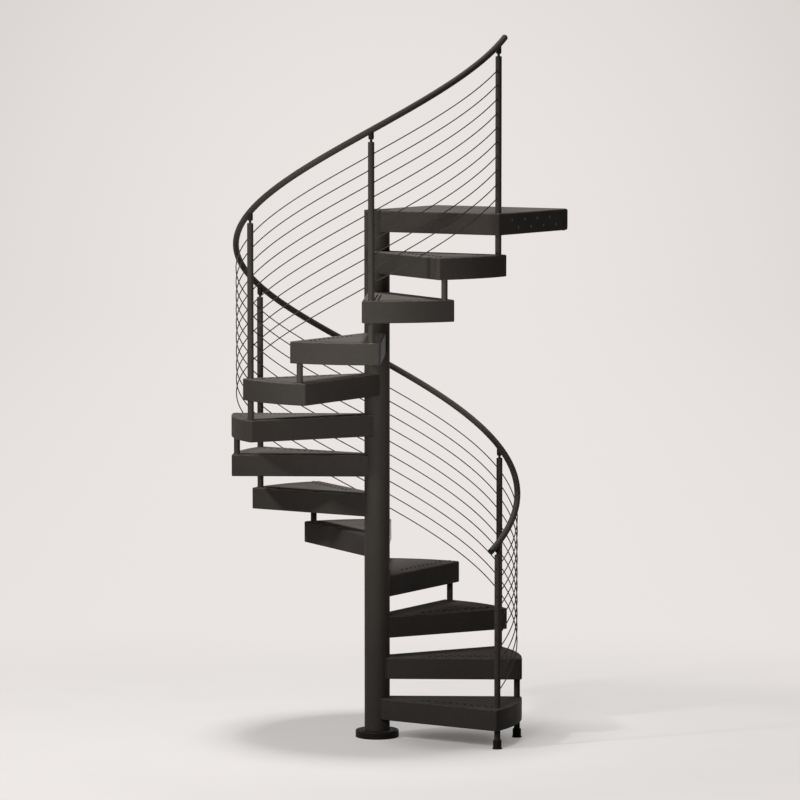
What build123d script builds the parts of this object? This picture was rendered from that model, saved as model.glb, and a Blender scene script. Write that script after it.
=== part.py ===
from build123d import *
import math
import os

# Steel spiral staircase: folded-sheet treads welded round one column, a landing with a bolting
# flange, balusters, a helical handrail and thin helical infill rods.
# Millimetres, +Z up, origin on the column's axis at floor level. Baluster 0 stands on the +X side
# and the climb is counter-clockwise seen from above.

# --- the climb
tread_count = 12
step_angle = 30.0          # degrees of turn per tread
rise = 224.3               # tread top to tread top
first_rise = 221.0         # floor to the first tread's top

# --- column with its base flange and cap, and the cover over the flange
column_radius = 70.0
column_wall = 4.0
cap_thickness = 5.0
cap_edge = 1.5
flange_radius = 105.0
flange_thickness = 12.0
drain_radius = 5.0         # hole through the tube's wall, hidden under the cover
cover_radius = 120.0
cover_height = 40.0
cover_wall = 3.0
cover_bend = 8.0
cover_fit = 0.3

# --- treads and landing: trays of folded sheet, open below and towards the column
sheet = 3.0
skirt = 118.0
rim_radius = 800.0
hub_margin = 50.0          # how far a side stands off its radial line at the column
rim_margin = 50.0          # and at the rim
corner_radius = 25.0
bend_radius = 7.0
landing_depth = 700.0      # column axis to the landing's back edge
landing_overreach = 6.0    # bolted face past the treads' rims

# --- holes in the landing's bolted face, two staggered rows
bolt_hole = 7.0
bolt_columns = 4
bolt_pitch = 135.0
bolt_stagger = 67.5
bolt_first = 139.0         # from the landing's front corner to the upper row's first hole
bolt_rows = (38.0, 82.0)   # below the landing's top

# --- balusters and their floor feet
post_inset = 28.0          # baluster's centre in from the treads' rims
post_radius = 17.0
post_fit = 0.3             # gap round a baluster where it passes through a tread
hole_sides = 12
foot_height = 50.0
foot_radius = 23.5
foot_flare = 27.5
foot_flare_height = 9.0

# --- handrail, and the brackets that hold it on the balusters
rail_radius = 17.0
rail_height = 903.0        # rail's centre above the tread that the baluster passes through
rail_overhang = 67.0       # past the first and last balusters
rail_sides = 12
rail_bend = 7.5            # degrees of turn per straight run
rail_cap = 7.0
rail_cap_edge = 3.0
rail_fit = 0.3
neck_radius = 7.0
neck_length = 13.0
cup_radius = 15.0
cup_drop = 49.0            # cup's underside below the rail's centre
cup_edge = 5.0
cup_wrap = 7.0             # cup stops this far below the rail's centre
cup_sides = 12

# --- infill rods
rod_count = 10
rod_radius = 3.0
rod_first = 88.0           # lowest rod above the tread top at a baluster
rod_pitch = 76.1
rod_sides = 4
rod_runs = 4               # straight runs that each bay's curve is bent from
rod_fit = 0.3              # gap between a rod's end and the baluster

# --- derived
landing_number = tread_count + 1
landing_reach = rim_radius + landing_overreach
post_circle = rim_radius - post_inset
post_top = rail_height - cup_drop - neck_length   # baluster's end above its upper tread
rail_overrun = math.degrees(rail_overhang / post_circle)
climb = rise / step_angle                     # height gained per degree
slope = math.atan(climb / math.radians(post_circle))
long_posts = range(0, tread_count + 1, 2)
short_posts = range(1, tread_count, 2)
bay_angle = 2 * step_angle
bays = len(long_posts) - 1


def tread_top(n):
    """Height of tread n's top; the landing counts as one more tread."""
    return first_rise + rise * (n - 1)


def polar(radius, degrees, height=0.0):
    a = math.radians(degrees)
    return Vector(radius * math.cos(a), radius * math.sin(a), height)


def flat_for(bend):
    """Leg of the flat that touches the middle of a bend of this radius."""
    return bend * (2 - math.sqrt(2))


def turned(*points):
    """Solid of revolution about Z from a half-section of (radius, height) points."""
    return revolve(Plane.XZ * make_face(Polyline(*points, close=True)), Axis.Z)


def faceted(sides, *levels):
    """Many-sided bar about Z through (radius, height) levels."""
    sections = [Pos(0, 0, z) * RegularPolygon(r, sides) for r, z in levels]
    return loft(sections, ruled=True)


# ---------------------------------------------------------------- column and base

def column():
    """Tube with its base flange and top cap welded on."""
    top = tread_top(landing_number)
    bore = column_radius - column_wall
    body = turned(
        (0, 0), (flange_radius, 0), (flange_radius, flange_thickness),
        (column_radius, flange_thickness), (column_radius, top - cap_edge),
        (column_radius - cap_edge, top), (0, top),
    ) - turned(
        (0, flange_thickness), (bore, flange_thickness), (bore, top - cap_thickness),
        (0, top - cap_thickness),
    )
    drain = Rot(0, 90, 0) * Cylinder(drain_radius, 4 * column_wall)
    return body - Pos(column_radius, 0, (flange_thickness + cover_height) / 2) * drain


def base_cover():
    """Cover over the flange, open below, that fits round the column."""
    edge, bore = flat_for(cover_bend), column_radius + cover_fit
    room, under = cover_radius - cover_wall, cover_height - cover_wall
    return turned(
        (cover_radius, 0), (cover_radius, cover_height - edge),
        (cover_radius - edge, cover_height), (bore, cover_height), (bore, under),
        (room, under), (room, 0),
    )


# ---------------------------------------------------------------- treads and landing

def beside(direction, along, aside):
    """Point at a distance along a radial direction and aside from it, counter-clockwise positive."""
    u = polar(1, direction)
    return Vector(along * u.X - aside * u.Y, along * u.Y + aside * u.X)


def side_points(direction, sign, inset, inner, outer):
    """Ends of a tray's side, moved inwards by inset and stopped at the inner and outer radii."""
    hub = beside(direction, column_radius, sign * (hub_margin - inset))
    rim = beside(direction, rim_radius, sign * (rim_margin - inset))
    run = (rim - hub).normalized()
    nearest = hub - run * hub.dot(run)
    return [nearest + run * math.sqrt(r * r - nearest.length ** 2) for r in (inner, outer)]


def tread_outline(inset, inner, outer):
    """Wedge between the column and the rim; the front side is the first radial line's."""
    front_in, front_out = side_points(0, -1, inset, inner, outer)
    rear_in, rear_out = side_points(step_angle, 1, inset, inner, outer)
    middle = step_angle / 2
    return make_face([
        Line(front_in, front_out),
        ThreePointArc(front_out, polar(outer, middle), rear_out),
        Line(rear_out, rear_in),
        ThreePointArc(rear_in, polar(inner, middle), front_in),
    ])


def landing_outline(inset, inner, outer):
    """Quarter platform with square outer corners; outer is only used to aim the sides."""
    front_in, front_out = side_points(0, -1, inset, inner, outer)
    side_in, side_out = side_points(90, 1, inset, inner, outer)
    reach, depth = landing_reach - inset, landing_depth - inset
    front_run, side_run = front_out - front_in, side_out - side_in
    front_corner = front_in + front_run * ((reach - front_in.X) / front_run.X)
    back_corner = side_in + side_run * ((depth - side_in.Y) / side_run.Y)
    return make_face([
        Line(front_in, front_corner),
        Line(front_corner, (reach, depth)),
        Line((reach, depth), back_corner),
        Line(back_corner, side_in),
        ThreePointArc(side_in, polar(inner, 45), front_in),
    ])


def away_from_hub(edges):
    return [e for e in edges if math.hypot(e.center().X, e.center().Y) > 2 * column_radius]


def pressing(face, height, corner):
    """Face pushed up, with flats in place of its rounded upright corners."""
    block = extrude(face, height)
    return chamfer(away_from_hub(block.edges().filter_by(Axis.Z)), flat_for(corner))


def tray(outline, drilled):
    """Folded tray with its top at z = 0, drilled where a baluster passes through its front corner."""
    shell = pressing(outline(0, column_radius, rim_radius), skirt, corner_radius)
    shell = chamfer(away_from_hub(shell.edges().group_by(Axis.Z)[-1]), flat_for(bend_radius))
    inside = outline(sheet, column_radius - sheet, rim_radius - sheet)
    room = pressing(inside, skirt - sheet, corner_radius - sheet)
    body = Pos(0, 0, -skirt) * (shell - room)
    if drilled:
        clear = (post_radius + post_fit) / math.cos(math.pi / hole_sides)
        body -= Pos(post_circle, 0) * faceted(hole_sides, (clear, -2 * sheet), (clear, sheet))
    return body


def tread(n):
    placed = Pos(0, 0, tread_top(n)) * Rot(0, 0, step_angle * (n - 1))
    return placed * tray(tread_outline, n - 1 in long_posts)


def landing():
    body = tray(landing_outline, True)
    for row, below in enumerate(bolt_rows):
        for i in range(bolt_columns):
            y = -rim_margin + bolt_first + row * bolt_stagger + i * bolt_pitch
            body -= Pos(landing_reach, y, -below) * Rot(0, 90, 0) * Cylinder(bolt_hole, 4 * sheet)
    return Pos(0, 0, tread_top(landing_number)) * body


# ---------------------------------------------------------------- balusters and feet

def post(k, low, high):
    """Upright at baluster position k."""
    return Pos(polar(post_circle, k * step_angle, (low + high) / 2)) * Cylinder(
        post_radius, high - low
    )


def long_post(k):
    """From tread k's top, or from its floor foot, up past the next tread to the handrail."""
    low = tread_top(k) if k > 0 else foot_height
    return post(k, low, tread_top(k + 1) + post_top)


def short_post(k):
    """Spacer from tread k's top to the underside of the next tread's top sheet."""
    return post(k, tread_top(k), tread_top(k + 1) - sheet)


def floor_leg():
    """Leg under the first tread's rear corner."""
    return post(1, foot_height, tread_top(1) - sheet)


def foot(k):
    """Floor foot with a flared rim, which an upright stands on."""
    return Pos(polar(post_circle, k * step_angle)) * turned(
        (0, 0), (foot_flare, 0), (foot_flare, foot_flare_height / 3),
        (foot_radius, foot_flare_height), (foot_radius, foot_height), (0, foot_height),
    )


# ---------------------------------------------------------------- handrail and brackets

def rail_point(angle):
    """Point on the handrail's bent centre line, whose straight runs touch the helix midway."""
    from_middle = math.radians(angle - rail_bend * round(angle / rail_bend))
    height = tread_top(1) + rail_height + climb * angle
    return polar(post_circle / math.cos(from_middle), angle, height)


def across(start, towards, angle):
    """Plane square to a run, its X axis pointing away from the column."""
    return Plane(origin=start, x_dir=polar(1, angle), z_dir=towards - start)


def rail_section(low, high):
    """Handrail between two angles, bent in straight runs."""
    first = math.floor(low / rail_bend + 0.5)
    last = math.ceil(high / rail_bend - 0.5)
    stops = [low] + [rail_bend * (i + 0.5) for i in range(first, last)] + [high]
    points = [rail_point(a) for a in stops]
    profile = across(points[0], points[1], low) * RegularPolygon(rail_radius, rail_sides)
    return sweep(profile, path=Polyline(*points), transition=Transition.RIGHT)


def rail_end(angle, sign):
    """Plug that closes the handrail's end."""
    end = rail_point(angle)
    plane = across(end, 2 * end - rail_point(angle - sign), angle)
    return plane * faceted(
        rail_sides, (rail_radius, 0), (rail_radius, rail_cap - rail_cap_edge),
        (rail_radius - rail_cap_edge, rail_cap),
    )


def rail_bracket(k):
    """Neck on the baluster's end and a cup that the handrail lies in."""
    angle = k * step_angle
    rail = rail_point(angle)
    body = Pos(rail.X, rail.Y, rail.Z - cup_drop) * (
        faceted(cup_sides, (neck_radius, -neck_length), (neck_radius, 0))
        + faceted(
            cup_sides, (cup_radius - cup_edge, 0), (cup_radius, cup_edge), (cup_radius, cup_drop)
        )
    )
    lying = across(rail, rail_point(angle + 1), angle)
    body -= lying * Cylinder(rail_radius + rail_fit, 6 * rail_radius)
    trim = 3 * rail_radius
    return body - lying * Pos(0, trim / 2 + cup_wrap, 0) * Box(trim, trim, trim)


# ---------------------------------------------------------------- infill rods

def infill_bay(bay):
    """The rods of one bay, each bent in straight runs between two long balusters."""
    lean = rod_radius * math.sin(slope)       # a rod's square-cut end leans towards the baluster
    ends = math.degrees((post_radius + rod_fit + lean) / post_circle)
    low, high = bay * bay_angle + ends, (bay + 1) * bay_angle - ends
    rods = []
    for i in range(rod_count):
        lift = tread_top(1) + rod_first + i * rod_pitch
        stops = [low + (high - low) * j / rod_runs for j in range(rod_runs + 1)]
        points = [polar(post_circle, a, lift + climb * a) for a in stops]
        profile = across(points[0], points[1], low) * RegularPolygon(rod_radius, rod_sides)
        rods.append(sweep(profile, path=Polyline(*points), transition=Transition.RIGHT))
    return rods


def save(name, *solids):
    shape = solids[0] if len(solids) == 1 else Compound(children=list(solids))
    export_step(shape, f"parts/{name}.step")


os.makedirs("parts", exist_ok=True)
save("column", column())
for n in range(1, tread_count + 1):
    save(f"tread_{n:02d}", tread(n))
save("landing", landing())
for k in long_posts:
    save(f"baluster_{k:02d}", long_post(k))
save("tread_spacers", floor_leg(), *[short_post(k) for k in short_posts])
save("floor_fittings", base_cover(), foot(0), foot(1))
for bay in range(bays):
    low = bay * bay_angle - (rail_overrun if bay == 0 else 0)
    high = (bay + 1) * bay_angle + (rail_overrun if bay == bays - 1 else 0)
    save(f"handrail_{bay + 1}", rail_section(low, high))
    save(f"infill_rods_{bay + 1}", *infill_bay(bay))
last_angle = bays * bay_angle + rail_overrun
save("handrail_ends", rail_end(-rail_overrun, -1), rail_end(last_angle, 1))
save("rail_brackets", *[rail_bracket(k) for k in long_posts])
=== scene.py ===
"""Steel spiral staircase: the smooth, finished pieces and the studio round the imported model.

Metres, +Z up, origin on the column's axis at floor level. Baluster 0 stands on the +X side and the
climb is counter-clockwise seen from above.
"""
import math

import bmesh
import bpy
from bpy.props import FloatProperty, FloatVectorProperty, IntProperty, PointerProperty
from bpy.types import Operator, Panel, PropertyGroup
from mathutils import Matrix, Vector


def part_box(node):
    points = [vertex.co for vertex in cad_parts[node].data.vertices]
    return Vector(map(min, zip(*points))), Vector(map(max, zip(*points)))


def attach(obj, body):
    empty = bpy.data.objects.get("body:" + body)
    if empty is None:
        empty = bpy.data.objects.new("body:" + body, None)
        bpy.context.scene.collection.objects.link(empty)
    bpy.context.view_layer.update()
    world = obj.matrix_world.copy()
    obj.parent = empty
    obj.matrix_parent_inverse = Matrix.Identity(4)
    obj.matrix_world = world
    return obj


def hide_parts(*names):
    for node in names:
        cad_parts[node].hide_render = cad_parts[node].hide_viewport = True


bl_info = {
    "name": "Spiral Staircase",
    "version": (1, 0, 0),
    "blender": (4, 5, 0),
    "location": "View3D > Sidebar > Staircase",
    "description": "Builds a powder-coated steel spiral staircase and its studio",
    "category": "Add Mesh",
}

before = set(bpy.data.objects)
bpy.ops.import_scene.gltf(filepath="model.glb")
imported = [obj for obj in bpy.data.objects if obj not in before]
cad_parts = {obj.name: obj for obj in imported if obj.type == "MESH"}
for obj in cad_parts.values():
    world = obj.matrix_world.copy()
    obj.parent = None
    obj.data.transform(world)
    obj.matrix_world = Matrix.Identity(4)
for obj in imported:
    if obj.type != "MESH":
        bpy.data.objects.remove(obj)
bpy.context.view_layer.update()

# The climb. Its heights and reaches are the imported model's.
TREADS = 12
FIRST_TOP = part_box("tread_01")[1].z
LANDING_LOW, LANDING_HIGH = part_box("landing")
RISE = (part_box("tread_12")[1].z - FIRST_TOP) / (TREADS - 1)
STEP = math.radians(30)
CLIMB = RISE / STEP              # height gained per radian

# The landing's bolt holes: where each of the two rows starts across the outer face and how far it lies
# below the top, then holes in a row, hole to hole, and a hole's radius.
BOLT_ROWS = ((0.089, 0.038), (0.1565, 0.082))
BOLTS_IN_ROW = 4
BOLT_PITCH = 0.135
BOLT_RADIUS = 0.007

# A tread's grip studs: where each of the two rows starts out from the column's axis and how far it lies
# from the front baluster's radial line, then studs in a row, and stud to stud.
STUD_ROWS = ((0.290, 0.015), (0.3125, 0.035))
STUDS_IN_ROW = 10
STUD_PITCH = 0.045

FLANGE_RADIUS = 0.105            # plate under the column, hidden by the base cover
FLANGE_HEIGHT = 0.012
FOOT_HEIGHT = 0.05               # moulded feet under the first baluster and the leg
COVER_BEND = 0.008               # radius of the base cover's rounded shoulder
BEAD_RADIUS = 0.0032             # weld beads
FOLD_LEAN = (0.2, 0.97)          # a face counts as a fold when its normal's height is between these

CAMERA_PLACE = (12.5059, -19.7966, 3.9472)
CAMERA_TILT = math.radians(84.9248)
CAMERA_TURN = math.radians(31.9731)
CAMERA_LENS = 192.535            # millimetres, with a sensor 36 millimetres wide
CAMERA_SENSOR = 36

# The pool of light on the backdrop.
POOL_TURN = math.radians(31.97)  # it runs square to this direction
POOL_REACH = 8.5                 # from its middle to where it ends
POOL_HEIGHT = 0.5                # of its middle
FLOOR_FADE = (1.7, 4.8)          # the floor turns into the evenly lit backdrop between these distances
FLOOR_GLOW = 0.44                # even glow of the floor under its shading
PAINTED_SHADOW_GLOW = 0.14              # painted shadow under the first tread: what is left of the glow there
PAINTED_SHADOW_MIDDLE = (0.42, 0.10, 0.0)      # middle of that painted shadow
PAINTED_SHADOW_FADE = (0.15, 0.50)      # the glow comes back between these distances from it, where the painted shadow ends
FLOOR_REACH = 34                 # flat part of the floor, then a cove and an upright wall
COVE_RADIUS = 8
WALL_TOP = 14


# ------------------------------------------------------------------ settings

def length(name, default, description):
    return FloatProperty(name=name, description=description, default=default, min=0, unit="LENGTH",
                         precision=4)


def colour(name, default, description):
    return FloatVectorProperty(name=name, description=description, default=default, size=3,
                               subtype="COLOR", min=0, max=1)


class StairSizes(PropertyGroup):
    column_radius: length("Column radius", 0.070, "Outer radius of the column's tube")
    rim_radius: length("Rim radius", 0.800, "Column axis to the treads' curved rims")
    hub_margin: length("Hub margin", 0.050,
                       "How far a tread's side stands off its radial line at the column")
    rim_margin: length("Rim margin", 0.050,
                       "How far a tread's side stands off its radial line at the rim")
    skirt: length("Skirt", LANDING_HIGH.z - LANDING_LOW.z, "Depth of the folded edges of treads and landing")
    sheet: length("Sheet", 0.003, "Thickness of the folded sheet")
    corner_radius: length("Corner radius", 0.012, "Radius of the trays' upright corners")
    bend_radius: length("Bend radius", 0.008, "Radius of the fold along a tray's top edges")
    foot_return: length("Foot return", 0.018, "How far the foot of a folded edge is turned in")
    foot_bend: length("Foot bend", 0.0045, "Radius of the fold along a tray's foot")
    free_corner: length("Free corner", 0.014,
                        "Radius of the landing's free corner, at the top and at the foot")
    post_radius: length("Baluster radius", 0.017, "Outer radius of balusters and spacers")
    post_inset: length("Baluster inset", 0.028, "Baluster's centre in from the treads' rims")
    rail_radius: length("Handrail radius", 0.017, "Radius of the handrail")
    rail_height: length("Handrail height", 0.903,
                        "Handrail's centre above the tread that a baluster passes through")
    rail_overhang: length("Handrail overhang", 0.067, "Handrail past its first and last balusters")
    rod_count: IntProperty(name="Rods", description="Infill rods one above another", default=10, min=1)
    rod_radius: length("Rod radius", 0.003, "Radius of an infill rod")
    rod_first: length("First rod", 0.088, "Lowest rod above the tread at a baluster")
    rod_pitch: length("Rod pitch", 0.0761, "Infill rod to infill rod")


class StairFinishes(PropertyGroup):
    coat: colour("Powder coat", (0.047, 0.0417, 0.0368), "Powder coat on the folded sheet")
    tube: colour("Tube coat", (0.052, 0.0462, 0.0408), "Powder coat on column, balusters and handrail")
    coat_light: colour("Coat, rubbed", (0.105, 0.099, 0.093),
                       "Powder coat where it is rubbed along folds and edges")
    # dust on upward faces, which also paints the light that falls on their tops
    dust_and_top_light: colour("Dust", (0.166, 0.149, 0.138), "Fine dust that settles on upward faces")
    moulding: colour("Moulding", (0.018, 0.0168, 0.0158), "Moulded plastic cups, plugs, feet and cover")
    rubber: colour("Rubber", (0.012, 0.0115, 0.011), "Grip studs on the treads")
    rod: colour("Rods", (0.046, 0.043, 0.040), "Painted infill rods")
    fastener: colour("Fasteners", (0.11, 0.105, 0.10), "Blackened steel of bolts, nuts and washers")
    zinc: colour("Zinc", (0.15, 0.147, 0.144), "Plated bushes in the landing's bolt holes")
    floor: colour("Floor", (0.772, 0.744, 0.728), "Floor round the staircase")
    floor_bounce: colour("Floor bounce", (0.06, 0.057, 0.055), "Floor as it lights the model from below")
    backdrop: colour("Backdrop", (0.822, 0.785, 0.765), "Backdrop where it is lit most")
    backdrop_edge: colour("Backdrop edge", (0.648, 0.613, 0.594), "Backdrop away from its lit middle")
    sky: colour("Fill", (1.0, 0.98, 0.96), "Colour of the soft light from all round")
    sky_level: FloatProperty(name="Fill level", description="Strength of the soft light from all round",
                             default=0.012, min=0)
    key_power: FloatProperty(name="Key light", description="Power of the small box at the front left",
                             default=228, min=0, unit="POWER")
    front_power: FloatProperty(name="Front light", description="Power of the soft box in front",
                               default=19, min=0, unit="POWER")
    back_power: FloatProperty(name="Back light", description="Power of the low, wide soft box behind",
                              default=85, min=0, unit="POWER")
    overhead_power: FloatProperty(name="Overhead light", description="Power of the soft box above",
                                  default=11900, min=0, unit="POWER")


# ------------------------------------------------------------------ shared helpers

def sizes():
    return bpy.context.scene.stair_sizes


def finishes():
    return bpy.context.scene.stair_finishes


def turn(angle):
    return Matrix.Rotation(angle, 4, "Z")


def polar(radius, angle, height=0.0):
    return Vector((radius * math.cos(angle), radius * math.sin(angle), height))


def tread_top(n):
    """Height of tread n's top; the landing counts as one more tread."""
    return FIRST_TOP + RISE * (n - 1)


def post_circle():
    return sizes().rim_radius - sizes().post_inset


def at_post(k, height=0.0):
    """Place on the axis of baluster or spacer k."""
    return Matrix.Translation(polar(post_circle(), k * STEP, height))


def mark_edges(bm, sharp):
    """Smooth faces with creases where they meet at more than the given angle in degrees."""
    for face in bm.faces:
        face.smooth = True
    for edge in bm.edges:
        edge.smooth = len(edge.link_faces) != 2 or edge.calc_face_angle(0) < math.radians(sharp)


def finish_piece(bm, name, material, nodes=(), sharp=35, rubbed=True):
    """Turns a bmesh into a piece that rides on the model and stands for the given nodes.

    The folds and chamfers of a rubbed piece carry the attribute that lets the finish wear there.
    """
    bm.normal_update()
    mark_edges(bm, sharp)
    fold = bm.faces.layers.float.new("fold")
    for face in bm.faces:
        face[fold] = float(rubbed and FOLD_LEAN[0] < abs(face.normal.z) < FOLD_LEAN[1])
    mesh = bpy.data.meshes.new(name)
    bm.to_mesh(mesh)
    bm.free()
    piece = bpy.data.objects.new(name, mesh)
    bpy.context.scene.collection.objects.link(piece)
    mesh.materials.append(material)
    if rubbed:
        piece.modifiers.new("flat faces lead", "WEIGHTED_NORMAL").keep_sharp = True
    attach(piece, "root")
    if nodes:
        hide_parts(*nodes)
    return piece


def verts_of(geometry):
    return [v for v in geometry if isinstance(v, bmesh.types.BMVert)]


def moved(bm, verts, matrix):
    bmesh.ops.transform(bm, matrix=matrix, verts=verts)


def repeated(bm, places):
    """Copies what the bmesh holds to every one of the places."""
    pattern = bm.verts[:] + bm.edges[:] + bm.faces[:]
    for matrix in places[1:]:
        moved(bm, verts_of(bmesh.ops.duplicate(bm, geom=pattern)["geom"]), matrix)
    moved(bm, verts_of(pattern), places[0])


def closed(bm):
    """Caps every open end and turns the faces outward."""
    bmesh.ops.holes_fill(bm, edges=[e for e in bm.edges if e.is_boundary])
    bmesh.ops.recalc_face_normals(bm, faces=bm.faces[:])


def arc(bm, start, angle, steps):
    """Chain of edges from start round the Z axis; returns its first and last vertices."""
    first = bm.verts.new(start)
    swept = bmesh.ops.spin(bm, geom=[first], cent=(0, 0, 0), axis=(0, 0, 1), angle=angle, steps=steps)
    return first, verts_of(swept["geom_last"])[0]


def lathe(bm, section, steps, place=Matrix()):
    """Turned part from a section of (radius, height) points, closed where it meets the axis."""
    verts = [bm.verts.new((r, 0, z)) for r, z in section]
    edges = [bm.edges.new(pair) for pair in zip(verts, verts[1:])]
    before = set(bm.verts) - set(verts)
    bmesh.ops.spin(bm, geom=verts + edges, cent=(0, 0, 0), axis=(0, 0, 1), angle=2 * math.pi,
                   steps=steps, use_merge=True)
    made = [v for v in bm.verts if v not in before]
    bmesh.ops.remove_doubles(bm, verts=made, dist=1e-6)
    made = [v for v in bm.verts if v not in before]
    bmesh.ops.recalc_face_normals(bm, faces=list({f for v in made for f in v.link_faces}))
    moved(bm, made, place)


def on_helix(circle, angle, height, way=1):
    """Place on a climbing line, with Z along it: up the stair, or down it where way is -1."""
    tilt = Matrix.Rotation(math.atan(CLIMB / circle) - way * math.pi / 2, 4, "X")
    return turn(angle) @ Matrix.Translation((circle, 0, height + CLIMB * angle)) @ tilt


def helix_tube(bm, radius, sides, circle, start, end, height, steps):
    """Round bar that climbs with the stair between two angles; open at both ends."""
    ring = bmesh.ops.create_circle(bm, cap_ends=False, radius=radius, segments=sides)["verts"]
    moved(bm, ring, on_helix(circle, start, height))
    edges = list({e for v in ring for e in v.link_edges})
    lift = CLIMB * (end - start) / steps
    bmesh.ops.spin(bm, geom=ring + edges, cent=(0, 0, 0), axis=(0, 0, 1), dvec=(0, 0, lift),
                   angle=end - start, steps=steps)


# ------------------------------------------------------------------ finishes

def shader(name):
    material = bpy.data.materials.new(name)
    material.use_nodes = True
    tree = material.node_tree
    return material, tree, tree.nodes["Principled BSDF"]


def node(tree, kind, feeds=None, **settings):
    """Adds a node, sets it up, and feeds its inputs with values or with other nodes' outputs."""
    made = tree.nodes.new("ShaderNode" + kind)
    for name, value in settings.items():
        setattr(made, name, value)
    for name, value in (feeds or {}).items():
        if isinstance(value, bpy.types.NodeSocket):
            tree.links.new(value, made.inputs[name])
        else:
            made.inputs[name].default_value = value
    return made


def calculate(tree, operation, *values, clamp=False):
    return node(tree, "Math", dict(enumerate(values)), operation=operation, use_clamp=clamp).outputs[0]


def times(tree, first, second, clamp=False):
    return calculate(tree, "MULTIPLY", first, second, clamp=clamp)


def noise(tree, position, scale, detail, roughness=0.5):
    return node(tree, "TexNoise", {"Vector": position, "Scale": scale, "Detail": detail,
                                   "Roughness": roughness}).outputs["Fac"]


def ranged(tree, value, low, high, to_low=0.0, to_high=1.0):
    return node(tree, "MapRange", {"Value": value, "From Min": low, "From Max": high, "To Min": to_low,
                                   "To Max": to_high}, interpolation_type="SMOOTHSTEP").outputs["Result"]


def blended(tree, factor, first, second):
    """Colour that goes from the first to the second with the factor."""
    return node(tree, "Mix", {"Factor": factor, "A": first, "B": second},
                data_type="RGBA").outputs["Result"]


VALUE, PLACE, PAINT = "NodeSocketFloat", "NodeSocketVector", "NodeSocketColor"


def effect(name, inputs, output, build):
    """Shared effect as a node group, made once: build gets its tree and inputs and gives its output."""
    if name in bpy.data.node_groups:
        return
    tree = bpy.data.node_groups.new(name, "ShaderNodeTree")
    for socket, kind in inputs:
        tree.interface.new_socket(socket, in_out="INPUT", socket_type=kind)
    tree.interface.new_socket(output[0], in_out="OUTPUT", socket_type=output[1])
    given = tree.nodes.new("NodeGroupInput").outputs
    tree.links.new(build(tree, given), tree.nodes.new("NodeGroupOutput").inputs[0])


def mottled(tree, given):
    """The colour a little darker and lighter, in broad patches and in fine ones."""
    broad = noise(tree, given["Position"], 3.2, 3.0)
    fine = noise(tree, given["Position"], 46.0, 2.0)
    both = calculate(tree, "ADD", times(tree, broad, 0.65), times(tree, fine, 0.35))
    shift = times(tree, calculate(tree, "SUBTRACT", both, 0.5), given["Spread"])
    level = calculate(tree, "ADD", times(tree, shift, 4.0), 1.0)
    return node(tree, "VectorMath", {0: given["Colour"], "Scale": level}, operation="SCALE").outputs[0]


def peeled(tree, given):
    """Height of the coat's fine relief."""
    cells = noise(tree, given["Position"], 380.0, 1.0)
    grit = noise(tree, given["Position"], 1500.0, 1.0)
    return calculate(tree, "ADD", times(tree, cells, 0.75), times(tree, grit, 0.25))


def rubbed_edges(tree, given):
    """Broken wear along the folds."""
    worn = ranged(tree, noise(tree, given["Position"], 34.0, 4.0, 0.65), 0.42, 0.62, 0.12, 1.0)
    return times(tree, times(tree, worn, given["Fold"]), given["Amount"], clamp=True)


def dusted_and_top_lit(tree, given):
    """Dust that drifts over faces that look up; it also paints the light that falls on their tops."""
    upward = node(tree, "SeparateXYZ", {0: given["Normal"]}).outputs["Z"]
    lying = ranged(tree, upward, 0.55, 0.98)
    drift = ranged(tree, noise(tree, given["Position"], 5.0, 4.0, 0.6), 0.28, 0.72, 0.72, 1.0)
    return times(tree, times(tree, lying, drift), given["Amount"], clamp=True)


def scuffed(tree, given):
    """Short marks that run two ways."""
    marks = [noise(tree, node(tree, "VectorMath", {0: given["Position"], 1: stretch},
                              operation="MULTIPLY").outputs[0], 1.0, 5.0, 0.7)
             for stretch in ((9.0, 70.0, 16.0), (64.0, 8.0, 20.0))]
    either = ranged(tree, calculate(tree, "MAXIMUM", *marks), 0.66, 0.76)
    return times(tree, either, given["Amount"], clamp=True)


def patchy(tree, given):
    """Roughness that wanders between two values."""
    patches = noise(tree, given["Position"], 7.5, 4.0, 0.6)
    return node(tree, "MapRange", {"Value": patches, "From Min": 0.3, "From Max": 0.7, "To Min": given["Low"],
                                   "To Max": given["High"]}).outputs["Result"]


def applied(tree, name, **feeds):
    """Places a shared effect and gives its output."""
    return node(tree, "Group", feeds, node_tree=bpy.data.node_groups[name]).outputs[0]


def make_effects():
    effect("coat_mottle", [("Position", PLACE), ("Colour", PAINT), ("Spread", VALUE)],
           ("Colour", PAINT), mottled)
    effect("orange_peel", [("Position", PLACE)], ("Height", VALUE), peeled)
    effect("edge_rub", [("Position", PLACE), ("Fold", VALUE), ("Amount", VALUE)],
           ("Mask", VALUE), rubbed_edges)
    # dust with painted top light on faces that look up
    effect("settled_dust_and_top_light", [("Position", PLACE), ("Normal", PLACE), ("Amount", VALUE)],
           ("Mask", VALUE), dusted_and_top_lit)
    effect("scuffs", [("Position", PLACE), ("Amount", VALUE)], ("Mask", VALUE), scuffed)
    effect("patchy_gloss", [("Position", PLACE), ("Low", VALUE), ("High", VALUE)],
           ("Roughness", VALUE), patchy)


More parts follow.
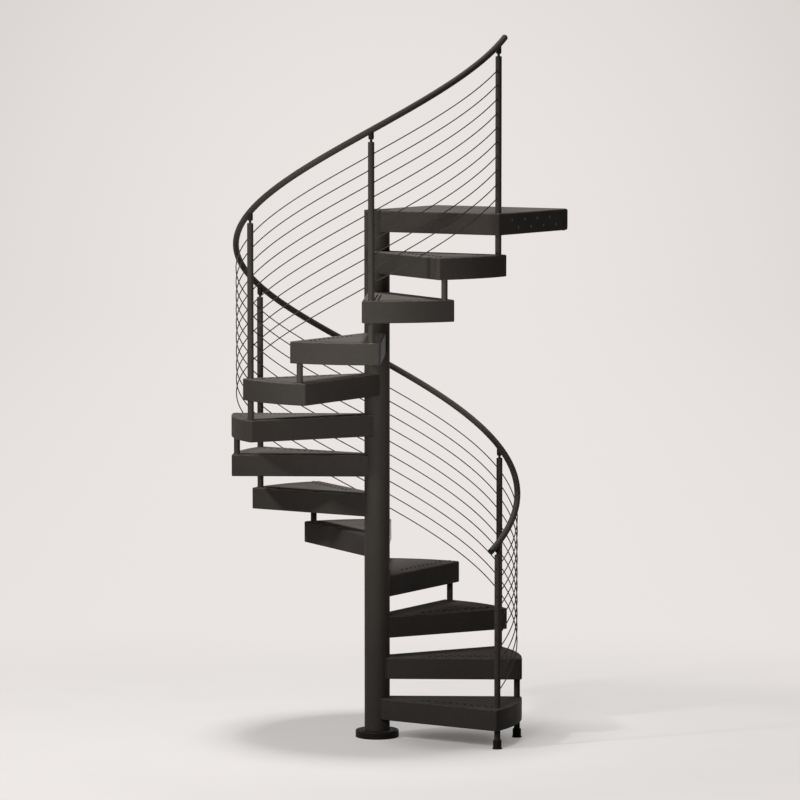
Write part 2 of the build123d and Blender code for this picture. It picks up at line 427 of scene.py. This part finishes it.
def finish(name, base, roughness, spread, dust_and_top_light=0.0, rub=0.0, scuff=0.0, relief=0.0, metal=0.0):
    """Material with the shared effects: tone, dust with painted light on faces that look up and painted shade
    low down, rubbed edges, scuffs, roughness and fine relief.
    """
    if name in bpy.data.materials:
        return bpy.data.materials[name]
    make_effects()
    f = finishes()
    material, tree, surface = shader(name)
    place = node(tree, "TexCoord").outputs
    position = place["Object"]
    fold = node(tree, "Attribute", attribute_name="fold").outputs["Fac"]
    height = node(tree, "SeparateXYZ", {0: position}).outputs["Z"]
    # painted light: the dust mask on faces that look up also stands for the light on the tops
    upward = applied(tree, "settled_dust_and_top_light", Position=position, Normal=place["Normal"], Amount=1.0)
    # painted shade: the dust and its painted top light fade low down, where the treads above shade the lower
    # tops
    lying = times(tree, upward, ranged(tree, height, 0.05, 1.1, 0.06 * dust_and_top_light, dust_and_top_light))
    marks = applied(tree, "scuffs", Position=position, Amount=scuff)
    worn = applied(tree, "edge_rub", Position=position, Fold=fold, Amount=rub)
    tone = applied(tree, "coat_mottle", Position=position, Colour=(*base, 1), Spread=spread)
    tone = blended(tree, calculate(tree, "MAXIMUM", worn, marks), tone, (*f.coat_light, 1))
    tone = blended(tree, lying, tone, (*f.dust_and_top_light, 1))
    tree.links.new(tone, surface.inputs["Base Color"])
    rough = applied(tree, "patchy_gloss", Position=position, Low=roughness - 0.06, High=roughness + 0.07)
    rough = calculate(tree, "ADD", rough, times(tree, upward, 0.36), clamp=True)
    tree.links.new(calculate(tree, "SUBTRACT", rough, times(tree, worn, 0.08)),
                   surface.inputs["Roughness"])
    peel = applied(tree, "orange_peel", Position=position)
    bump = node(tree, "Bump", {"Strength": relief, "Distance": 0.0006, "Height": peel})
    tree.links.new(bump.outputs[0], surface.inputs["Normal"])
    surface.inputs["Metallic"].default_value = metal
    surface.inputs["Specular IOR Level"].default_value = 0.05
    return material


def sheet_coat():
    return finish("sheet_coat", finishes().coat, 0.58, spread=0.15, dust_and_top_light=0.9, rub=0.5, scuff=0.25,
                  relief=0.35)


def tube_coat():
    # its dust also paints the light along the tops of the handrail and tubes
    return finish("tube_coat", finishes().tube, 0.54, spread=0.12, dust_and_top_light=0.55, rub=0.6, scuff=0.08,
                  relief=0.30)


def moulded_plastic():
    return finish("moulded_plastic", finishes().moulding, 0.46, spread=0.10, dust_and_top_light=0.12, rub=0.25, relief=0.45)


def stud_rubber():
    return finish("stud_rubber", finishes().rubber, 0.62, spread=0.20, dust_and_top_light=0.10, rub=0.15, relief=0.5)


def rod_paint():
    return finish("rod_paint", finishes().rod, 0.42, spread=0.20, scuff=0.1, relief=0.2)


def zinc_plate():
    return finish("zinc_plate", finishes().zinc, 0.38, spread=0.15, relief=0.15, metal=0.6)


def blackened_steel():
    return finish("blackened_steel", finishes().fastener, 0.40, spread=0.22, dust_and_top_light=0.15, rub=0.7, relief=0.25,
                  metal=0.8)


# ------------------------------------------------------------------ trays

def side_line(direction, sign):
    """Ends of a tray's side at the column and at the rim, before it is cut to the radii."""
    s = sizes()
    u, w = polar(1, direction), polar(1, direction + math.pi / 2)
    return (s.column_radius * u + sign * s.hub_margin * w, s.rim_radius * u + sign * s.rim_margin * w)


def on_radius(line, radius):
    """Point where a side's line meets a circle round the column."""
    hub, rim = line
    run = (rim - hub).normalized()
    nearest = hub - run * hub.dot(run)
    return nearest + run * math.sqrt(radius * radius - nearest.length_squared)


def angle_of(point):
    return math.atan2(point.y, point.x)


def rounded_corner(bm, corner):
    """Rounds the top and the foot of a tray's free corner more than its edges."""
    s = sizes()
    radius, low, outward = s.free_corner, -s.skirt, Vector((1, 1, 0)).normalized()
    start = corner.dot(outward) - s.corner_radius * (math.sqrt(2) - 1) - radius
    # cuts the faces where the rounding starts
    for place, normal in ((outward * start, outward), ((0, 0, -radius), (0, 0, 1)),
                          ((0, 0, low + radius), (0, 0, 1))):
        bmesh.ops.bisect_plane(bm, geom=bm.verts[:] + bm.edges[:] + bm.faces[:], plane_co=place,
                               plane_no=normal)
    # draws what lies past it in to a circle that stands along the corner's diagonal
    for way, height in ((1, -radius), (-1, low + radius)):
        for v in bm.verts:
            past, rise = v.co.dot(outward) - start, v.co.z - height
            out = math.hypot(past, rise)
            if past > 0 and rise * way > 0 and out > radius:
                v.co += (outward * past + Vector((0, 0, rise))) * (radius / out - 1)
    bmesh.ops.dissolve_degenerate(bm, dist=2e-5, edges=bm.edges[:])


def tray(bm, corners, free=None):
    """Folded tray with its top at z = 0 from a flat outline with the given outer corners.

    Its foot is turned in all round. Where a free corner is given, it is rounded more at the top and the
    foot.
    """
    s = sizes()
    bmesh.ops.remove_doubles(bm, verts=bm.verts[:], dist=1e-6)
    bmesh.ops.contextual_create(bm, geom=bm.edges[:])
    upright = [v for v in bm.verts if any((v.co - c).length < 1e-5 for c in corners)]
    bmesh.ops.bevel(bm, geom=upright, offset=s.corner_radius, offset_type="OFFSET", segments=6, profile=0.5,
                    affect="VERTICES", material=-1)
    bm.faces.ensure_lookup_table()
    raised = bmesh.ops.extrude_face_region(bm, geom=bm.faces[:])["geom"]
    bmesh.ops.translate(bm, vec=(0, 0, s.skirt), verts=verts_of(raised))
    moved(bm, bm.verts, Matrix.Translation((0, 0, -s.skirt)))
    hub, foot = s.column_radius + 0.001, 1e-5 - s.skirt
    under = [f for f in bm.faces if all(v.co.z < foot for v in f.verts)]
    bmesh.ops.inset_region(bm, faces=under, thickness=s.foot_return, use_even_offset=True)

    def fold(at_level, radius, segments):
        """Rounds the edges between a side and the top or the foot, but not those at the column."""
        bm.normal_update()
        edges = [e for e in bm.edges if all(at_level(v.co.z) for v in e.verts)
                 and not all(v.co.xy.length < hub for v in e.verts)
                 and any(abs(f.normal.z) < 0.1 for f in e.link_faces)]
        bmesh.ops.bevel(bm, geom=edges, offset=radius, offset_type="OFFSET", segments=segments, profile=0.5,
                        affect="EDGES", material=-1)

    fold(lambda z: z > -1e-5, s.bend_radius, 6)
    fold(lambda z: z < foot, s.foot_bend, 4)
    # the tray is open below and at its mouth, and its foot isn't turned in at the column
    ring = s.column_radius + s.foot_return * 1.2
    open_faces = [f for f in under if f.is_valid]
    open_faces += [f for f in bm.faces if f not in open_faces and (
        all(v.co.xy.length < hub for v in f.verts)
        or (all(v.co.z < foot for v in f.verts) and f.calc_center_median().xy.length < ring))]
    bmesh.ops.delete(bm, geom=open_faces, context="FACES")
    bmesh.ops.recalc_face_normals(bm, faces=bm.faces[:])
    top = max(bm.faces, key=lambda f: f.calc_area())
    if top.normal.z < 0:
        bmesh.ops.reverse_faces(bm, faces=bm.faces[:])
    if free:
        rounded_corner(bm, free)
    bmesh.ops.solidify(bm, geom=bm.faces[:], thickness=s.sheet)


def tread_tray():
    s = sizes()
    front, rear = side_line(0, -1), side_line(STEP, 1)
    front_out, rear_out = on_radius(front, s.rim_radius), on_radius(rear, s.rim_radius)
    front_in, rear_in = on_radius(front, s.column_radius), on_radius(rear, s.column_radius)
    bm = bmesh.new()
    out_a, out_b = arc(bm, front_out, angle_of(rear_out) - angle_of(front_out), 16)
    in_a, in_b = arc(bm, front_in, angle_of(rear_in) - angle_of(front_in), 10)
    bm.edges.new((in_a, out_a))
    bm.edges.new((in_b, out_b))
    tray(bm, [out_a.co.copy(), out_b.co.copy()])
    return bm


def landing_tray():
    s = sizes()
    front, side = side_line(0, -1), side_line(math.pi / 2, 1)
    front_in, side_in = on_radius(front, s.column_radius), on_radius(side, s.column_radius)
    reach, depth = LANDING_HIGH.x, LANDING_HIGH.y
    front_run, side_run = front[1] - front[0], side[1] - side[0]
    front_corner = front[0] + front_run * ((reach - front[0].x) / front_run.x)
    back_corner = side[0] + side_run * ((depth - side[0].y) / side_run.y)
    far = Vector((reach, depth, 0))
    bm = bmesh.new()
    in_a, in_b = arc(bm, front_in, angle_of(side_in) - angle_of(front_in), 24)
    ring = [in_a] + [bm.verts.new(p) for p in (front_corner, far, back_corner)] + [in_b]
    for pair in zip(ring, ring[1:]):
        bm.edges.new(pair)
    tray(bm, [front_corner, far, back_corner], far)
    return bm


class STAIR_OT_treads(Operator):
    """Makes the twelve folded treads"""
    bl_idname = "stair.treads"
    bl_label = "Treads"

    def execute(self, context):
        for n in range(1, TREADS + 1):
            bm = tread_tray()
            moved(bm, bm.verts, turn(STEP * (n - 1)) @ Matrix.Translation((0, 0, tread_top(n))))
            finish_piece(bm, f"tread_sheet_{n:02d}", sheet_coat(), [f"tread_{n:02d}"])
        return {"FINISHED"}


def bolt_places():
    """Places of the holes in the landing's bolting face, with Z straight out of it."""
    return [Matrix.Translation((LANDING_HIGH.x, first + BOLT_PITCH * i, LANDING_HIGH.z - drop))
            @ Matrix.Rotation(math.pi / 2, 4, "Y")
            for first, drop in BOLT_ROWS for i in range(BOLTS_IN_ROW)]


def drill(piece, drills, context):
    """Cuts what the drills' bmesh holds out of a piece, and gives the piece the cut mesh."""
    mesh = bpy.data.meshes.new("drills")
    drills.to_mesh(mesh)
    drills.free()
    cutter = bpy.data.objects.new("drills", mesh)
    context.scene.collection.objects.link(cutter)
    cut = piece.modifiers.new("bolt holes", "BOOLEAN")
    cut.operation, cut.solver, cut.object = "DIFFERENCE", "EXACT", cutter
    whole, name = piece.data, piece.data.name
    drilled = bpy.data.meshes.new_from_object(piece.evaluated_get(context.evaluated_depsgraph_get()))
    piece.modifiers.remove(cut)
    bpy.data.objects.remove(cutter)
    bpy.data.meshes.remove(mesh)
    piece.data = drilled
    bpy.data.meshes.remove(whole)
    drilled.name = name


class STAIR_OT_landing(Operator):
    """Makes the landing with its drilled bolting face"""
    bl_idname = "stair.landing"
    bl_label = "Landing"

    def execute(self, context):
        bm = landing_tray()
        moved(bm, bm.verts, Matrix.Translation((0, 0, LANDING_HIGH.z)))
        piece = finish_piece(bm, "landing_sheet", sheet_coat(), ["landing"])
        piece.modifiers.clear()
        bm = bmesh.new()
        lathe(bm, [(0, -0.02), (BOLT_RADIUS, -0.02), (BOLT_RADIUS, 0.02), (0, 0.02)], 24)
        repeated(bm, bolt_places())
        drill(piece, bm, context)
        bm = bmesh.new()
        bm.from_mesh(piece.data)
        mark_edges(bm, 35)
        bm.to_mesh(piece.data)
        bm.free()
        piece.modifiers.new("flat faces lead", "WEIGHTED_NORMAL").keep_sharp = True
        bm = bmesh.new()
        lathe(bm, [(0.0042, -0.012), (0.0068, -0.012), (0.0068, -0.0006), (0.0062, -0.0002),
                   (0.0050, -0.0002), (0.0042, -0.0010), (0.0042, -0.012)], 20)
        repeated(bm, bolt_places())
        finish_piece(bm, "bolt_bushes", zinc_plate(), rubbed=False)
        return {"FINISHED"}


class STAIR_OT_welds(Operator):
    """Makes the weld beads between the trays and the column"""
    bl_idname = "stair.welds"
    bl_label = "Welds"

    def execute(self, context):
        s = sizes()
        hub = s.column_radius
        reach = math.asin(s.hub_margin / hub)
        bm = bmesh.new()

        def bead(start, end, top):
            """Bead round the column at a tray's top, and one down each of the mouth's two edges."""
            ring = bmesh.ops.create_circle(bm, cap_ends=False, radius=BEAD_RADIUS, segments=8)["verts"]
            lie = Matrix.Translation((hub + 0.0006, 0, top)) @ Matrix.Rotation(math.pi / 2, 4, "X")
            moved(bm, ring, turn(start) @ lie)
            edges = list({e for v in ring for e in v.link_edges})
            bmesh.ops.spin(bm, geom=ring + edges, cent=(0, 0, 0), axis=(0, 0, 1), angle=end - start, steps=26)
            for angle in (start, end):
                foot = Matrix.Translation(polar(hub + 0.0006, angle, top - s.skirt))
                lathe(bm, [(0, 0), (BEAD_RADIUS, 0.0015), (BEAD_RADIUS, s.skirt - 0.001), (0, s.skirt)], 8,
                      foot)

        for n in range(1, TREADS + 1):
            bead(STEP * (n - 1) - reach, STEP * n + reach, tread_top(n))
        bead(-reach, math.pi / 2 + reach, LANDING_HIGH.z)
        closed(bm)
        finish_piece(bm, "weld_beads", tube_coat(), sharp=60, rubbed=False)
        return {"FINISHED"}


class STAIR_OT_grips(Operator):
    """Makes the two staggered rows of grip studs near each tread's front edge"""
    bl_idname = "stair.grips"
    bl_label = "Grip studs"

    def execute(self, context):
        bm = bmesh.new()
        lathe(bm, [(0, 0.0024), (0.0036, 0.0022), (0.0058, 0.0011), (0.0064, -0.0004), (0, -0.0004)], 12)
        repeated(bm, [turn(STEP * (n - 1)) @ Matrix.Translation((first + STUD_PITCH * i, across,
                                                                 tread_top(n)))
                      for n in range(1, TREADS + 1) for first, across in STUD_ROWS
                      for i in range(STUDS_IN_ROW)])
        finish_piece(bm, "grip_studs", stud_rubber(), rubbed=False)
        return {"FINISHED"}


# ------------------------------------------------------------------ column

class STAIR_OT_column(Operator):
    """Makes the column's tube with its top cap"""
    bl_idname = "stair.column"
    bl_label = "Column"

    def execute(self, context):
        r, top = sizes().column_radius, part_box("column")[1].z
        bm = bmesh.new()
        lathe(bm, [(0, 0), (FLANGE_RADIUS, 0), (FLANGE_RADIUS, FLANGE_HEIGHT), (r, FLANGE_HEIGHT),
                   (r, top - 0.0054), (r - 0.0008, top - 0.005), (r - 0.0008, top - 0.0042),
                   (r, top - 0.0038), (r, top - 0.0015), (r - 0.0005, top - 0.0004), (r - 0.0015, top),
                   (0, top)], 96)
        finish_piece(bm, "column_tube", tube_coat(), ["column"])
        return {"FINISHED"}


# ------------------------------------------------------------------ uprights

def tube_section(low, high, radius, edge=0.0015):
    """Closed tube's section with its two ends softened."""
    return [(0, low), (radius - edge, low), (radius, low + edge), (radius, high - edge),
            (radius - edge, high), (0, high)]


class STAIR_OT_uprights(Operator):
    """Makes the balusters and the spacers between the treads"""
    bl_idname = "stair.uprights"
    bl_label = "Balusters and spacers"

    def execute(self, context):
        s = sizes()
        for k in range(0, TREADS + 1, 2):
            low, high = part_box(f"baluster_{k:02d}")
            bm = bmesh.new()
            lathe(bm, tube_section(low.z, high.z, s.post_radius), 40, at_post(k))
            finish_piece(bm, f"baluster_tube_{k:02d}", tube_coat(), [f"baluster_{k:02d}"])
        bm = bmesh.new()
        for k in range(1, TREADS, 2):
            lathe(bm, tube_section(tread_top(k), tread_top(k + 1) - s.sheet, s.post_radius), 40, at_post(k))
        # the leg under the first tread's rear corner
        lathe(bm, tube_section(FOOT_HEIGHT, FIRST_TOP - s.sheet, s.post_radius), 40, at_post(1))
        finish_piece(bm, "spacer_tubes", tube_coat(), ["tread_spacers"])
        return {"FINISHED"}


class STAIR_OT_fixings(Operator):
    """Makes the washers, nuts and low screw heads that hold balusters and spacers to the treads"""
    bl_idname = "stair.fixings"
    bl_label = "Fixings"

    def execute(self, context):
        s = sizes()
        # a thin washer on every sheet that a tube stands on or passes through
        bm = bmesh.new()
        r = s.post_radius
        lathe(bm, [(r - 0.002, 0), (r + 0.0035, 0), (r + 0.0035, 0.0012), (r + 0.0028, 0.0018),
                   (r - 0.002, 0.0018), (r - 0.002, 0)], 32)
        levels = [(k, tread_top(k)) for k in range(1, TREADS + 1)]
        levels += [(k, tread_top(k + 1)) for k in range(0, TREADS + 1, 2)]
        repeated(bm, [at_post(k, z) for k, z in levels])
        finish_piece(bm, "tube_washers", blackened_steel())
        # hexagon nuts under the sheets
        bm = bmesh.new()
        lathe(bm, [(0, -0.0125), (0.0105, -0.0125), (0.0118, -0.0113), (0.0118, -0.0025), (0.0165, -0.0025),
                   (0.0165, 0), (0, 0)], 6)
        repeated(bm, [at_post(k, tread_top(k) - s.sheet) for k in range(1, TREADS + 1)])
        finish_piece(bm, "hexagon_nuts", blackened_steel())
        # low domed screws where a spacer ends under a sheet
        bm = bmesh.new()
        lathe(bm, [(0, 0.0015), (0.0032, 0.0015), (0.0036, 0.0042), (0.0062, 0.0040), (0.0088, 0.0024),
                   (0.0098, 0.0004), (0.0098, -0.0005), (0, -0.0005)], 18)
        repeated(bm, [at_post(k, tread_top(k + 1)) for k in range(1, TREADS, 2)])
        finish_piece(bm, "spacer_screws", blackened_steel())
        return {"FINISHED"}


class STAIR_OT_mouldings(Operator):
    """Makes the two floor feet and the cover round the column's base"""
    bl_idname = "stair.mouldings"
    bl_label = "Feet and base cover"

    def execute(self, context):
        bm = bmesh.new()
        for k in (0, 1):
            lathe(bm, [(0, 0), (0.0265, 0), (0.0275, 0.0010), (0.0275, 0.0045), (0.0268, 0.0062),
                       (0.0240, 0.0082), (0.0235, 0.0105), (0.0235, 0.0440), (0.0232, 0.0462),
                       (0.0222, 0.0482), (0.0205, 0.0495), (0.0182, FOOT_HEIGHT), (0, FOOT_HEIGHT)], 48,
                  at_post(k))
        bend = [(0.112 + COVER_BEND * math.sin(a), 0.032 + COVER_BEND * math.cos(a))
                for a in (math.radians(15 * i) for i in range(7))]
        lathe(bm, [(0.0703, 0.0385), (0.0718, 0.04)] + bend + [(0.12, 0.0015), (0.1192, 0), (0.117, 0),
                   (0.117, 0.032), (0.112, 0.037), (0.0703, 0.037), (0.0703, 0.0385)], 96)
        finish_piece(bm, "feet_and_cover", moulded_plastic(), ["floor_fittings"])
        return {"FINISHED"}


# ------------------------------------------------------------------ handrail

class STAIR_OT_handrail(Operator):
    """Makes the helical handrail with its rounded end plugs"""
    bl_idname = "stair.handrail"
    bl_label = "Handrail"

    def execute(self, context):
        s = sizes()
        circle, level = post_circle(), FIRST_TOP + s.rail_height
        overrun = s.rail_overhang / circle
        ends = (-overrun, TREADS * STEP + overrun)
        bm = bmesh.new()
        helix_tube(bm, s.rail_radius, 28, circle, *ends, level, 180)
        closed(bm)
        finish_piece(bm, "handrail_tube", tube_coat(),
                     [f"handrail_{i}" for i in range(1, 7)], rubbed=False)
        bm = bmesh.new()
        r = s.rail_radius
        for way, angle in zip((-1, 1), ends):
            lathe(bm, [(0, -0.002), (r - 0.001, -0.002), (r - 0.001, 0.0004), (r, 0.0008),
                       (r - 0.0001, 0.0036), (r - 0.0011, 0.0055), (r - 0.0029, 0.0066),
                       (r - 0.0055, 0.007), (0, 0.0072)], 40, on_helix(circle, angle, level, way))
        finish_piece(bm, "handrail_plugs", moulded_plastic(), ["handrail_ends"],
                     rubbed=False)
        return {"FINISHED"}


class STAIR_OT_brackets(Operator):
    """Makes the cups on thin necks that carry the handrail on the balusters"""
    bl_idname = "stair.brackets"
    bl_label = "Handrail brackets"

    def execute(self, context):
        s = sizes()
        bm = bmesh.new()
        low = -0.049                 # where the neck widens into the cup, from the handrail's centre
        lathe(bm, [(0, -0.063), (0.0092, -0.063), (0.0096, -0.0615), (0.0075, -0.0600), (0.007, -0.0585),
                   (0.007, low - 0.0006), (0.0088, low), (0.0112, low + 0.0008), (0.0136, low + 0.0027),
                   (0.0148, low + 0.0055), (0.015, low + 0.0085), (0.015, -0.0085), (0.0145, -0.0072),
                   (0, -0.0068)], 36)
        repeated(bm, [at_post(k, tread_top(k + 1) + s.rail_height) for k in range(0, TREADS + 1, 2)])
        finish_piece(bm, "handrail_cups", moulded_plastic(), ["rail_brackets"])
        return {"FINISHED"}


# ------------------------------------------------------------------ infill

class STAIR_OT_infill(Operator):
    """Makes the thin helical infill rods and the sleeves that hold them in the balusters"""
    bl_idname = "stair.infill"
    bl_label = "Infill rods"

    def execute(self, context):
        s = sizes()
        circle = post_circle()
        heights = [FIRST_TOP + s.rod_first + i * s.rod_pitch for i in range(s.rod_count)]
        bm = bmesh.new()
        for height in heights:
            helix_tube(bm, s.rod_radius, 10, circle, 0, TREADS * STEP, height, 144)
        closed(bm)
        finish_piece(bm, "infill_rods", rod_paint(),
                     [f"infill_rods_{i}" for i in range(1, 7)], rubbed=False)
        bm = bmesh.new()
        r, out = s.rod_radius, s.post_radius
        for way in (-1, 1):
            lathe(bm, [(0, out - 0.003), (r + 0.002, out - 0.003), (r + 0.002, out + 0.0022),
                       (r + 0.0006, out + 0.0036), (0, out + 0.0036)], 12,
                  Matrix.Rotation(0 if way > 0 else math.pi, 4, "X"))
        repeated(bm, [on_helix(circle, k * STEP, height) for k in range(0, TREADS + 1, 2)
                      for height in heights])
        finish_piece(bm, "rod_sleeves", moulded_plastic(), rubbed=False)
        return {"FINISHED"}


# ------------------------------------------------------------------ stage

def seen_directly(tree):
    """1 for camera, glossy and transmission rays, 0 for the rays that light the model."""
    path = node(tree, "LightPath").outputs
    either = calculate(tree, "MAXIMUM", path["Is Camera Ray"], path["Is Glossy Ray"])
    return calculate(tree, "MAXIMUM", either, path["Is Transmission Ray"])


def backdrop_material():
    """Pale floor that fades, away from the model, into an evenly lit backdrop."""
    f = finishes()
    material, tree, surface = shader("backdrop")
    surface.inputs["Roughness"].default_value = 0.9
    surface.inputs["Specular IOR Level"].default_value = 0.1
    place = node(tree, "TexCoord").outputs["Object"]
    # a wide pool of light across the sweep, brightest in the middle and low down
    pool = node(tree, "Mapping", {"Vector": place, "Rotation": (0, 0, -POOL_TURN),
                                  "Location": (0, 0, -POOL_HEIGHT)}).outputs[0]
    share = node(tree, "VectorMath", {0: pool, 1: (1 / POOL_REACH, 0, 1 / POOL_REACH)},
                 operation="MULTIPLY").outputs[0]
    fall = node(tree, "VectorMath", {0: share, 1: share}, operation="DOT_PRODUCT").outputs["Value"]
    tone = blended(tree, calculate(tree, "MINIMUM", fall, 1.0), (*f.backdrop, 1), (*f.backdrop_edge, 1))
    lit = node(tree, "Emission", {"Color": tone})
    # the floor round the model is a plain shaded surface that keeps its shadow, and a painted shadow darkens
    # it under the first tread
    reach = node(tree, "VectorMath", {0: place}, operation="LENGTH").outputs["Value"]
    # painted shadow: less glow close under the first tread darkens the floor there
    painted_shadow_distance = node(tree, "VectorMath", {0: place, 1: PAINTED_SHADOW_MIDDLE}, operation="DISTANCE").outputs["Value"]
    glow = ranged(tree, painted_shadow_distance, *PAINTED_SHADOW_FADE, PAINTED_SHADOW_GLOW, FLOOR_GLOW)
    away = ranged(tree, reach, *FLOOR_FADE, glow, 1.0)
    seen = seen_directly(tree)
    speckle = node(tree, "VectorMath", {0: (*f.floor,), "Scale": ranged(tree, noise(tree, place, 2.4, 3.0),
                                                                        0.3, 0.7, 0.99, 1.01)},
                   operation="SCALE").outputs[0]
    tree.links.new(blended(tree, seen, (*f.floor_bounce, 1), speckle), surface.inputs["Base Color"])
    mix = node(tree, "MixShader", {0: times(tree, away, seen), 1: surface.outputs[0], 2: lit.outputs[0]})
    tree.links.new(mix.outputs[0], tree.nodes["Material Output"].inputs["Surface"])
    return material


def area_light(name, towards, distance, width, height, energy, aim=(0, 0, 1.6), spread=180):
    """Soft box in a direction from the model, turned towards it."""
    lamp = bpy.data.lights.new(name, "AREA")
    lamp.shape, lamp.size, lamp.size_y, lamp.energy = "RECTANGLE", width, height, energy
    lamp.spread = math.radians(spread)
    box = bpy.data.objects.new(name, lamp)
    towards = Vector(towards).normalized()
    box.location = Vector(aim) + towards * distance
    box.visible_camera = False
    box.rotation_euler = towards.to_track_quat("Z", "Y").to_euler()
    bpy.context.scene.collection.objects.link(box)


class STAIR_OT_stage(Operator):
    """Makes the camera, the floor with its sweep and the soft studio light"""
    bl_idname = "stair.stage"
    bl_label = "Studio"

    def execute(self, context):
        scene, f = context.scene, finishes()
        scene.view_settings.view_transform = "Standard"
        lens = bpy.data.cameras.new("camera")
        lens.lens, lens.sensor_width = CAMERA_LENS, CAMERA_SENSOR
        lens.clip_start, lens.clip_end = 0.5, 300
        camera = bpy.data.objects.new("camera", lens)
        scene.collection.objects.link(camera)
        camera.location = CAMERA_PLACE
        camera.rotation_euler = (CAMERA_TILT, 0, CAMERA_TURN)
        scene.camera = camera
        bm = bmesh.new()
        cove = [(FLOOR_REACH + COVE_RADIUS * math.sin(a), COVE_RADIUS - COVE_RADIUS * math.cos(a))
                for a in (math.radians(10 * i) for i in range(10))]
        lathe(bm, [(0, 0), (2, 0), (8, 0), (20, 0)] + cove + [(FLOOR_REACH + COVE_RADIUS, WALL_TOP)], 96)
        for face in bm.faces:
            face.smooth = True
        if sum(face.normal.z for face in bm.faces) < 0:
            bmesh.ops.reverse_faces(bm, faces=bm.faces[:])
        mesh = bpy.data.meshes.new("floor")
        bm.to_mesh(mesh)
        bm.free()
        mesh.materials.append(backdrop_material())
        floor = bpy.data.objects.new("floor", mesh)
        scene.collection.objects.link(floor)

        world = bpy.data.worlds.new("studio")
        scene.world = world
        world.use_nodes = True
        tree = world.node_tree
        light = tree.nodes["Background"]
        light.inputs["Color"].default_value = (*f.sky, 1)
        light.inputs["Strength"].default_value = f.sky_level
        shown = node(tree, "Background", {"Color": (*f.backdrop_edge, 1)})
        mix = node(tree, "MixShader", {0: seen_directly(tree), 1: light.outputs[0], 2: shown.outputs[0]})
        tree.links.new(mix.outputs[0], tree.nodes["World Output"].inputs["Surface"])

        area_light("key", (-2.72, -5.35, 3.7), 7.05, 0.5, 0.5, f.key_power, aim=(0, 0, 1.3))
        area_light("front", (1.42, -2.96, 0.0), 3.3, 0.9, 0.9, f.front_power, aim=(0, 0, 2.05),
                   spread=100)
        area_light("back", (-1.55, 2.95, 0.0), 7, 4.0, 0.9, f.back_power, aim=(0, 0, 0.5))
        area_light("overhead", (0.0, -0.02, 1), 40, 7.5, 7.5, f.overhead_power)
        return {"FINISHED"}


# ------------------------------------------------------------------ panel and registration

PIECES = (STAIR_OT_stage, STAIR_OT_column, STAIR_OT_treads, STAIR_OT_landing, STAIR_OT_welds, STAIR_OT_grips,
          STAIR_OT_uprights, STAIR_OT_fixings, STAIR_OT_mouldings, STAIR_OT_handrail, STAIR_OT_brackets,
          STAIR_OT_infill)


class STAIR_PT_panel(Panel):
    """Sizes, finishes and pieces of the staircase"""
    bl_idname = "STAIR_PT_panel"
    bl_label = "Spiral Staircase"
    bl_space_type = "VIEW_3D"
    bl_region_type = "UI"
    bl_category = "Staircase"

    def draw(self, context):
        for group in (context.scene.stair_sizes, context.scene.stair_finishes):
            column = self.layout.column(align=True)
            for name in group.__annotations__:
                column.prop(group, name)
        for piece in PIECES:
            self.layout.operator(piece.bl_idname)


CLASSES = (StairSizes, StairFinishes, *PIECES, STAIR_PT_panel)


def register():
    for cls in CLASSES:
        bpy.utils.register_class(cls)
    bpy.types.Scene.stair_sizes = PointerProperty(type=StairSizes)
    bpy.types.Scene.stair_finishes = PointerProperty(type=StairFinishes)


def unregister():
    del bpy.types.Scene.stair_finishes
    del bpy.types.Scene.stair_sizes
    for cls in reversed(CLASSES):
        bpy.utils.unregister_class(cls)


def main():
    register()
    for piece in PIECES:
        getattr(bpy.ops.stair, piece.bl_idname.split(".")[1])()


if __name__ == "__main__":
    main()
